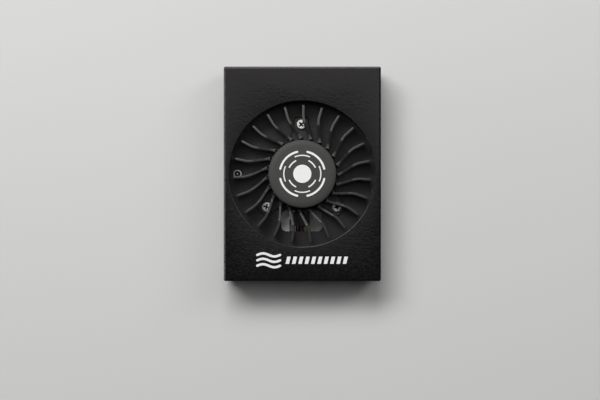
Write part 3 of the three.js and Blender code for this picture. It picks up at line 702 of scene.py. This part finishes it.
plug = piece("plug_shell", plug_shell(), "white_nylon", "housing", ["plug_housing"])
sleeve = piece("wire_sleeve", lead_sleeve(), "sleeve", "housing", ["lead_sleeve"])


# ------------------------------------------------------------
# Cover
# ------------------------------------------------------------

RIM_ROUND = 0.3
ROUND_SIDES = 240


def skirt_face(node):
    """Where a cover screw sits on the outside of its skirt, and its direction."""
    middle = centre(node)
    side = math.copysign(1.0, middle.x)
    return shift(side * WIDTH / 2, middle.y, middle.z) @ turn(side * math.pi / 2, "Y")


def countersink(node):
    """A hole through a skirt that a countersunk screw sits in, along X."""
    low, high = box(node)
    head, hole, over, seat, depth = (high.y - low.y) / 2, COVER_SCREW["hole"], 0.2, -0.65, -1.5
    profile = [(0, over), (head + 0.25, over), (head + 0.1, 0.0), (hole, seat), (hole, depth),
               (0, depth)]
    return moved(turned(profile, 48), skirt_face(node))


def cover_shell():
    """A folded sheet: a flat top with a bevelled edge and a round intake, and two skirts."""
    outline = rectangle_outline(WIDTH, LENGTH, CORNER_RADIUS, steps=8)
    width, drop, soft, break_edge = EDGE["width"], EDGE["drop"], EDGE["soft"], 0.15
    bevel = [(HEIGHT - drop - soft, 0.0), (HEIGHT - drop, -0.3 * soft),
             (HEIGHT - 0.3 * soft, -width), (HEIGHT, -width - soft)]
    shell = stack(outline, [(SKIRT_LOW, -break_edge), (SKIRT_LOW + break_edge, 0.0), *bevel])
    inside = slab(rectangle_outline(WIDTH - 2 * SKIRT, LENGTH + 2, 0.25, steps=4), -1.0, COVER_LOW)
    circle_of = disc_outline(INTAKE_RADIUS, ROUND_SIDES)
    intake = rounded_mouth(circle_of, COVER_LOW - 1, HEIGHT, RIM_ROUND)
    screws = [countersink(f"cover_screw_{i}") for i in range(1, 5)]
    return carved(shell, cut=[inside, intake, *screws])


piece("cover_shell", cover_shell(), "cover_paint", "housing", ["top_cover"], 14.0)


# ------------------------------------------------------------
# Print on the cover: three waves of moving air and a row of louvre bars, both generic
# ------------------------------------------------------------

INK = 0.03
WAVES = {"start": -14.6, "end": -7.2, "y": -28.05, "pitch": 1.75, "swing": 0.5, "width": 0.75}
BARS = {"count": 10, "x": -4.6, "pitch": 2.06, "width": 1.15, "lean": 0.55, "low": -29.2,
        "high": -26.85}


def ribbon(middle, width):
    """The outline of a stroke of even width along a line of points, with round ends."""
    left, right = [], []
    for i, (x, y) in enumerate(middle):
        (ax, ay), (bx, by) = middle[max(i - 1, 0)], middle[min(i + 1, len(middle) - 1)]
        reach = math.hypot(bx - ax, by - ay)
        nx, ny = -(by - ay) / reach * width / 2, (bx - ax) / reach * width / 2
        left.append((x + nx, y + ny))
        right.append((x - nx, y - ny))

    def cap(points, first, second):
        (ax, ay), (bx, by) = points[first], points[second]
        facing = math.atan2(ay - by, ax - bx)
        return arc(ax, ay, width / 2, facing - math.pi / 2, facing + math.pi / 2, 8)[1:-1]

    return right + cap(middle, -1, -2) + left[::-1] + cap(middle, 0, 1)


def printed(outlines, low):
    """Flat ink on a surface, one closed shape for each outline."""
    levels = (low, low + INK)
    return merged([loft([[(x, y, z) for x, y in outline] for z in levels]) for outline in outlines])


def air_waves():
    """Three strokes that swing once along their length, one above the other."""
    start, length, steps = WAVES["start"], WAVES["end"] - WAVES["start"], 28
    strokes = []
    for row in (-1, 0, 1):
        y = WAVES["y"] + row * WAVES["pitch"]
        middle = []
        for t in (i / steps for i in range(steps + 1)):
            middle.append((start + length * t, y + WAVES["swing"] * math.sin(2 * math.pi * t)))
        strokes.append(ribbon(middle, WAVES["width"]))
    return strokes


def louvre_bars():
    half, lean, low, high = BARS["width"] / 2, BARS["lean"] / 2, BARS["low"], BARS["high"]
    bars = []
    for i in range(BARS["count"]):
        x = BARS["x"] + BARS["pitch"] * i
        bars.append([(x - half - lean, low), (x + half - lean, low),
                     (x + half + lean, high), (x - half + lean, high)])
    return bars


piece("cover_print", printed(air_waves() + louvre_bars(), HEIGHT), "white_print", "housing")


# ------------------------------------------------------------
# Heatsink: base, fins, pads
# ------------------------------------------------------------


def ears():
    """The middle of each ear, which is where its screw is."""
    return [centre(f"fan_screw_{i}") for i in range(1, 4)]


def bracket_solid(low, high, growth, chamfer=0.0):
    """The bracket: a disc with three arms that end in ears. Grown all round, it is its pocket."""
    shapes = [slab(disc_outline(BRACKET["disc"] + growth, 120), low, high, chamfer)]
    half = BRACKET["ear"] / 2

    def arm(reach):
        def outline(more):
            near, grown = BRACKET["root_reach"], growth + more
            ear, root = half + grown, BRACKET["root"] + grown
            return [(reach, ear), (near, root), (near, -root), (reach, -ear)]
        return outline

    for ear in ears():
        reach, angle = ear.xy.length, math.atan2(ear.y, ear.x)
        side = BRACKET["ear"] + 2 * growth
        end = rectangle_outline(side, side, BRACKET["ear_radius"] + growth, reach, 0)
        shapes.append(moved(slab(arm(reach), low, high, chamfer), turn(angle)))
        shapes.append(moved(slab(end, low, high, chamfer), turn(angle)))
    return carved(shapes[0], shapes[1:])


def foot_hole(x, y):
    """A blind hole for a screw from below, with a chamfered mouth and a pointed end."""
    hole, lead_in, depth = FOOT["hole"], 0.3, FOOT["depth"]
    profile = [(0, -1), (hole + lead_in, -1), (hole + lead_in, 0.0), (hole, lead_in), (hole, depth),
               (0, depth + 0.4)]
    return moved(turned(profile, 40), shift(x, y))


def base_plate():
    """The base with its pedestal and feet, less the window, the bracket's pocket and the holes."""
    sunk = BASE_LOW + 0.5
    whole = rectangle_outline(BASE_WIDTH, LENGTH, CORNER_RADIUS)
    plate = slab(whole, BASE_LOW, BASE_TOP, 0.15, 0.25)
    square = rectangle_outline(PEDESTAL_SIZE, PEDESTAL_SIZE, 0.5)
    pedestal = slab(square, PEDESTAL_LOW, sunk, 0, 0.2)
    corners = [(sx * FOOT["x"], sy * FOOT["y"]) for sx in (-1, 1) for sy in (-1, 1)]
    feet = [slab(disc_outline(FOOT["radius"], 64, x, y), 0.0, sunk, 0, 0.25) for x, y in corners]
    window = rectangle_outline(WINDOW["width"], WINDOW["length"], WINDOW["radius"], WINDOW["x"],
                               WINDOW["y"], 10)
    channel_start = 1 - BRACKET["disc"]
    channel_length = channel_start - WINDOW["y"]
    channel = rectangle_outline(LEAD_CHANNEL["width"], channel_length, 0.4, LEAD_CHANNEL["x"],
                                channel_start - channel_length / 2, 4)
    insert = centre("side_insert")
    insert_radius = (box("side_insert")[1].x - box("side_insert")[0].x) / 2
    screw_holes = [slab(disc_outline(1.0, 32, ear.x, ear.y), BASE_LOW + 0.4, HEIGHT)
                   for ear in ears()]
    side_screws = [centre(f"cover_screw_{i}") for i in range(1, 5)]
    side_holes = [moved(slab(disc_outline(COVER_SCREW["tapped"], 32), -4, 4),
                        shift(*place) @ turn(math.pi / 2, "Y")) for place in side_screws]
    cutters = [
        mouth(window, 0.0, BASE_TOP, 0.12),
        mouth(channel, LEAD_CHANNEL["low"], BASE_TOP, 0.1),
        bracket_solid(BRACKET_LOW, HEIGHT, POCKET_GAP),
        mouth(disc_outline(insert_radius + 0.05, 48, insert.x, insert.y), 0.0, BASE_TOP, 0.12),
        *screw_holes,
        *side_holes,
        *[foot_hole(x, y) for x, y in corners],
    ]
    return carved(plate, [pedestal, *feet], cutters)


def fins(end):
    """Folded fins: thin webs, each with a flange at foot and top that meets the next web."""
    web, flange, gap = FIN["thickness"] / 2, FIN["flange"], FIN["gap"]
    low, high = BASE_TOP, FIN_TOP
    meshes = []
    for i in range(FIN["count"]):
        x = (i - (FIN["count"] - 1) / 2) * FIN["pitch"]
        reach = FIN["pitch"] - web - gap if i + 1 < FIN["count"] else web + 0.05
        aside = min(abs(x) + web, FIN["widest"])
        near = math.sqrt(FIN["inner_radius"] ** 2 - aside ** 2) + 0.1
        left, right, end_x = x - web, x + web, x + reach
        profile = [(left, low), (end_x, low), (end_x, low + flange), (right, low + flange),
                   (right, high - flange), (end_x, high - flange), (end_x, high), (left, high)]
        meshes.append(loft([[(px, y, pz) for px, pz in profile] for y in (near, FIN_OUTER_Y)]))
    return moved(merged(meshes), turn(0 if end > 0 else math.pi))


def thermal_pad(node):
    """A soft pad with rounded corners and slightly crowned faces."""
    low, high = box(node)
    middle = (low + high) / 2
    outline = rectangle_outline(high.x - low.x, high.y - low.y, 0.6, middle.x, middle.y)
    bulge = min(0.12, (high.z - low.z) * 0.2)
    levels = [(low.z, -0.3), (low.z + bulge, -0.05), (middle.z, 0.0), (high.z - bulge, -0.05),
              (high.z, -0.2)]
    return stack(outline, levels)


piece("base_plate", base_plate(), "black_anodised", "housing", ["heatsink_base"])
piece("upper_fins", fins(1), "black_anodised", "housing", ["upper_fin_bank"])
piece("lower_fins", fins(-1), "black_anodised", "housing", ["lower_fin_bank"])
for part in ("processor", "memory", "power"):
    node = f"{part}_thermal_pad"
    piece(f"{part}_pad", thermal_pad(node), "thermal_pad", "housing", [node])


# ------------------------------------------------------------
# Bracket, screws, insert
# ------------------------------------------------------------


def fan_frame():
    holes = [slab(disc_outline(FAN_SCREW["hole"], 32, ear.x, ear.y), 0, HEIGHT) for ear in ears()]
    bore = slab(disc_outline(BEARING_TUBE_RADIUS + 0.05, 64), 0, HEIGHT)
    return carved(bracket_solid(BRACKET_LOW, BRACKET_TOP, 0.0, 0.12), cut=[bore, *holes])


def cross_recess(screw, surface):
    """A tapered cross whose four wings narrow to a sharp floor."""
    reach, half, depth, over = screw["cross"], screw["wing"] / 2, screw["depth"], 0.5

    def tapered(x_is_long):
        sections = []
        for height, ends, sides in ((-depth, 0.5, 0.1), (0.0, 1.0, 1.0), (over, 1.0, 1.0)):
            a, b = reach * ends, half * sides
            x, y = (a, b) if x_is_long else (b, a)
            corners = [(x, y), (-x, y), (-x, -y), (x, -y)]
            sections.append([(px, py, surface + height) for px, py in corners])
        return loft(sections)

    middle = 1.6 * half
    top = surface + over
    tip = turned([(0, surface - depth), (middle, surface), (middle, top), (0, top)], 24)
    return carved(tapered(True), [tapered(False), tip])


def driven(node, first, step):
    """The angle at which a screw has come to rest, another one for each number."""
    return turn(math.radians(first + step * int(node[-1])))


def pan_head_screw(node):
    low, high = box(node)
    middle, head = (low + high) / 2, (high.x - low.x) / 2
    seat, top, foot = BRACKET_TOP, high.z, low.z
    edge, shank = FAN_SCREW["edge"], FAN_SCREW["shank"]
    rounded = arc(head - edge, top - edge, edge, math.pi / 2, 0, 8)
    profile = [(0, top), *rounded, (head, seat + 0.08), (head - 0.08, seat), (shank, seat),
               (shank, foot + 0.2), (shank - 0.2, foot), (0, foot)]
    screw = carved(turned(profile, 72), cut=[cross_recess(FAN_SCREW, top)])
    return moved(screw, shift(middle.x, middle.y) @ driven(node, 12, 31))


def flush_screw(node):
    low, high = box(node)
    head, shank, length = (high.y - low.y) / 2, COVER_SCREW["shank"], COVER_SCREW["length"]
    profile = [(0, 0), (head - 0.05, 0), (head, -0.06), (shank, -0.6), (shank, 0.2 - length),
               (shank - 0.15, -length), (0, -length)]
    screw = carved(turned(profile, 56), cut=[cross_recess(COVER_SCREW, 0.0)])
    return moved(screw, skirt_face(node) @ driven(node, 20, 27))


def insert_ring():
    low, high = box("side_insert")
    middle, outer = (low + high) / 2, (high.x - low.x) / 2
    inner, lead_in = INSERT["bore"], INSERT["lead_in"]
    profile = [(inner, low.z), (outer, low.z), (outer, high.z - 0.22),
               (outer - 0.06, high.z - 0.06), (outer - 0.22, high.z), (inner + lead_in, high.z),
               (inner, high.z - lead_in)]
    return moved(turned(profile, 64), shift(middle.x, middle.y))


def insert_pin():
    """A pin with a wider foot and a low dome."""
    low, high = box("side_pin")
    middle, foot, radius = (low + high) / 2, (high.x - low.x) / 2, INSERT["pin"]
    angles = [i * math.pi / 2 / 8 for i in range(8)]
    dome = [(radius * math.cos(t), high.z - radius * 0.6 * (1 - math.sin(t))) for t in angles]
    profile = [(0, low.z), (foot, low.z), (foot, low.z + 0.5), (foot - 0.1, low.z + 0.6),
               (radius, low.z + 0.6), *dome, (0, high.z)]
    return moved(turned(profile, 40), shift(middle.x, middle.y))


piece("bracket_frame", fan_frame(), "black_plastic", "housing", ["fan_bracket"])
for i in range(1, 4):
    node = f"fan_screw_{i}"
    piece(f"fan_screw_head_{i}", pan_head_screw(node), "nickel", "housing", [node])
for i in range(1, 5):
    node = f"cover_screw_{i}"
    piece(f"cover_screw_head_{i}", flush_screw(node), "nickel", "housing", [node])
piece("insert_ring", insert_ring(), "nickel", "housing", ["side_insert"])
piece("insert_pin", insert_pin(), "nickel", "housing", ["side_pin"])


# ------------------------------------------------------------
# Impeller and hub
# ------------------------------------------------------------


def blade_sweep(radius):
    """The angle that a blade's middle line has swept at a radius, from its tip's direction."""
    inside = max(BLADE_BEND["radius"] - radius, 0) / BLADE_BEND["span"]
    return math.radians(BLADE_BEND["degrees"] * inside ** BLADE_BEND["power"])


def blade_top(radius):
    """The height of a blade's top: a climb to a crest and a gentle fall to the tip, softly bent."""
    inner, outer = BLADE_STEP["inner"], BLADE_STEP["outer"]
    low, crest, tip = BLADE_TOP["inner"], BLADE_TOP["crest"], BLADE_TOP["tip"]
    spots = [radius + 0.08 * i for i in range(-4, 5)]
    height = 0.0
    for spot in spots:
        climb = min(max((spot - inner) / (outer - inner), 0.0), 1.0)
        fall = max((spot - outer) / (BLADE_TIP - outer), 0.0)
        height += low + (crest - low) * climb - (crest - tip) * fall
    return height / len(spots)


def blade_point(radius, tip_angle):
    angle = tip_angle - blade_sweep(radius)
    return Vector((radius * math.cos(angle), radius * math.sin(angle)))


def blade_section(half, top):
    """A blade's cross-section as (sideways, height) corners: a slight draft, and a crowned top."""
    crown = min(0.14, half * 0.6)
    crowned = [(1.0, 1.0), (0.93, 0.42), (0.78, 0.1), (0.5, 0.0)]
    right = [(half * side, top - crown * drop) for side, drop in crowned]
    left = [(-side, height) for side, height in reversed(right)]
    foot = half + BLADE["draft"]
    return [(-foot, BLADE["low"]), (foot, BLADE["low"]), *right, *left]


def blade(tip_angle):
    """One blade: a thin wall with a stepped top, a flared root and a notch beside the hub."""
    tip, root, end_length = BLADE_TIP, BLADE_ROOT, BLADE_END["length"]
    near_hub = [HUB["radius"] - 0.5, 11.06, 11.26, 11.46, 11.64, 11.72, 11.9, 12.1, root["flare"]]
    bends = [bend + 0.1 * i for bend in BLADE_STEP.values() for i in range(-4, 5)]
    plain = [14.2, 15.0, 15.8, 17.8, 18.8, 20.0, 21.2]
    radii = sorted(near_hub + bends + plain) + [tip - end_length, tip - 0.14, tip - 0.04, tip]
    sections = []
    for radius in radii:
        middle = blade_point(radius, tip_angle)
        inward, outward = (blade_point(radius + step, tip_angle) for step in (-0.1, 0.1))
        along = (outward - inward).normalized()
        across = Vector((-along.y, along.x))
        to_hub = min(root["reach"], max(0.0, root["flare"] - radius))
        notch = min(root["depth"], root["slope"] * max(0.0, root["notch"] - radius))
        half = BLADE["thickness"] / 2 + root["widening"] * to_hub ** 1.5
        end = max(0.0, (radius - (tip - end_length)) / end_length)
        half *= math.sqrt(max(BLADE_END["narrowest"] ** 2, 1 - end ** 2))
        top = blade_top(radius) + root["rise"] * to_hub - notch - BLADE_END["fall"] * end ** 2
        sections.append([(*(middle + across * side), z) for side, z in blade_section(half, top)])
    return loft(sections)


def impeller():
    """The hub, hollow for the rotor's cup and with a boss for the shaft, and its blades."""
    radius, wall, rim, edge = HUB["radius"], HUB["wall"], HUB["rim"], HUB["edge"]
    low, chamfer, gap, boss, bore = HUB["low"], 0.15, 0.05, 2.2, 0.8
    label_low = box("hub_label")[0].z
    cup_top, shaft_top = box("rotor_cup")[1].z + gap, box("rotor_shaft")[1].z + gap
    boss_low = box("bearing_tube")[1].z + 0.4
    rim_top = HUB_TOP - CAP["fall"]
    rounded = arc(radius - edge, rim_top - edge, edge, math.pi / 2, 0, 8)
    profile = [(0, label_low), (rim, label_low), (rim, rim_top), *rounded,
               (radius, low + chamfer), (radius - chamfer, low), (radius - wall, low),
               (radius - wall, cup_top), (boss, cup_top), (boss, boss_low), (bore, boss_low),
               (bore, shaft_top), (0, shaft_top)]
    step = 2 * math.pi / BLADE["count"]
    first = math.radians(BLADE["first"])
    blades = [blade(first - i * step) for i in range(BLADE["count"])]
    return carved(turned(profile, 184), [merged(blades)])


def hub_disc():
    """The cap in the hub: flat in the middle, with a band round it that falls gently to the rim."""
    low, high = box("hub_label")
    rim, flat, top, soft = high.x, CAP["flat"], high.z, 0.12
    rim_top = top - CAP["fall"]
    edge = [(rim, rim_top - 0.03), (rim - 0.04, rim_top), (rim - soft, rim_top + 0.03)]
    band = [(flat + soft, top - 0.012), (flat - soft, top)]
    return turned([(0, low.z), (rim, low.z), *edge, *band, (0, top)], 160)


def sector(radius, width, start, end, steps=24):
    return ribbon(arc(0, 0, radius, math.radians(start), math.radians(end), steps), width)


DOT_RADIUS = 2.95
# Radius, stroke width, span of an arc in degrees, and direction of the first arc's middle.
RINGS = ((7.3, 0.66, 64, 45), (6.0, 0.38, 46, 0), (4.7, 0.44, 36, 45))


def hub_graphic():
    """A plain centre dot inside three rings, each broken into four even arcs."""
    outlines = [circle(DOT_RADIUS, 64)]
    for radius, width, span, middle in RINGS:
        for i in range(4):
            along = middle + 90 * i
            outlines.append(sector(radius, width, along - span / 2, along + span / 2))
    return outlines


piece("fan_impeller", impeller(), "black_plastic", "rotor", ["impeller"], 34.0)
piece("hub_disc", hub_disc(), "label_film", "rotor", ["hub_label"])
piece("hub_print", printed(hub_graphic(), box("hub_label")[1].z), "white_print", "rotor")


# ------------------------------------------------------------
# CAD nodes that stay: their finish
# ------------------------------------------------------------

KEPT_NODES = {
    "bearing_tube": "brass",
    "sleeve_bearing": "bronze",
    "thrust_plate": "chip",
    "motor_board": "board",
    "hall_sensor": "chip",
    "driver_chip": "chip",
    "stator_core": "lamination",
    "lower_insulator": "white_nylon",
    "upper_insulator": "white_nylon",
    "rotor_cup": "steel",
    "rotor_magnet": "magnet",
    "rotor_shaft": "steel",
    "retaining_ring": "white_nylon",
    **{f"coil_{i}": "copper_wire" for i in range(1, 5)},
    **{f"plug_contact_{i}": "brass" for i in range(1, 5)},
}

for node, slot in KEPT_NODES.items():
    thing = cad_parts[node]
    for material_slot in thing.material_slots:
        material_slot.material = MATERIALS[slot]


# ------------------------------------------------------------
# Floor and light
# ------------------------------------------------------------


def make_floor():
    """A plain pale floor, a hair below the feet."""
    size, gap = 4.0, 0.00002
    mesh = bpy.data.meshes.new("floor")
    corners = [(-size, -size, 0), (size, -size, 0), (size, size, 0), (-size, size, 0)]
    mesh.from_pydata(corners, [], [(0, 1, 2, 3)])
    pale = grained("floor", (0.70, 0.70, 0.69, 1), 0.8, mottle=0.02, mottle_scale=8.0, bump=0.0)
    mesh.materials.append(pale)
    floor = linked(mesh, "floor")
    floor.location.z = -gap


def softbox(name, place, aim, size, radiance):
    """A rectangular soft light of even radiance at a place in metres, turned towards its aim."""
    data = bpy.data.lights.new(name, "AREA")
    data.shape = "RECTANGLE"
    data.size, data.size_y = size
    data.energy = radiance * math.pi * size[0] * size[1]
    lamp = bpy.data.objects.new(name, data)
    lamp.location = place
    lamp.rotation_euler = (Vector(aim) - Vector(place)).to_track_quat("-Z", "Y").to_euler()
    bpy.context.scene.collection.objects.link(lamp)


def make_light():
    """A key light from the far left, a weak panel above, one from the right, two low strips."""
    softbox("key", (-0.28, 0.55, 0.72), (0, 0, 0), (0.8, 0.35), 8.4)
    softbox("overhead", (0.0, 0.262, 0.6), (0.0, 0.262, 0.0), (0.8, 0.49), 0.87)
    softbox("side", (0.62, 0.42, 0.55), (0, 0, 0), (0.3, 0.5), 3.0)
    softbox("left_edge", (-0.75, 0.0, 0.07), (0, 0, 0.01), (0.9, 0.08), 5.6)
    softbox("far_edge", (0.0, 0.8, 0.05), (0, 0, 0.01), (0.9, 0.08), 5.6)
    world = bpy.data.worlds.new("world")
    world.use_nodes = True
    background = world.node_tree.nodes["Background"]
    background.inputs["Color"].default_value = (0.92, 0.94, 0.96, 1)
    background.inputs["Strength"].default_value = 0.035
    bpy.context.scene.world = world
    bpy.context.scene.view_settings.view_transform = "Standard"


make_floor()
make_light()
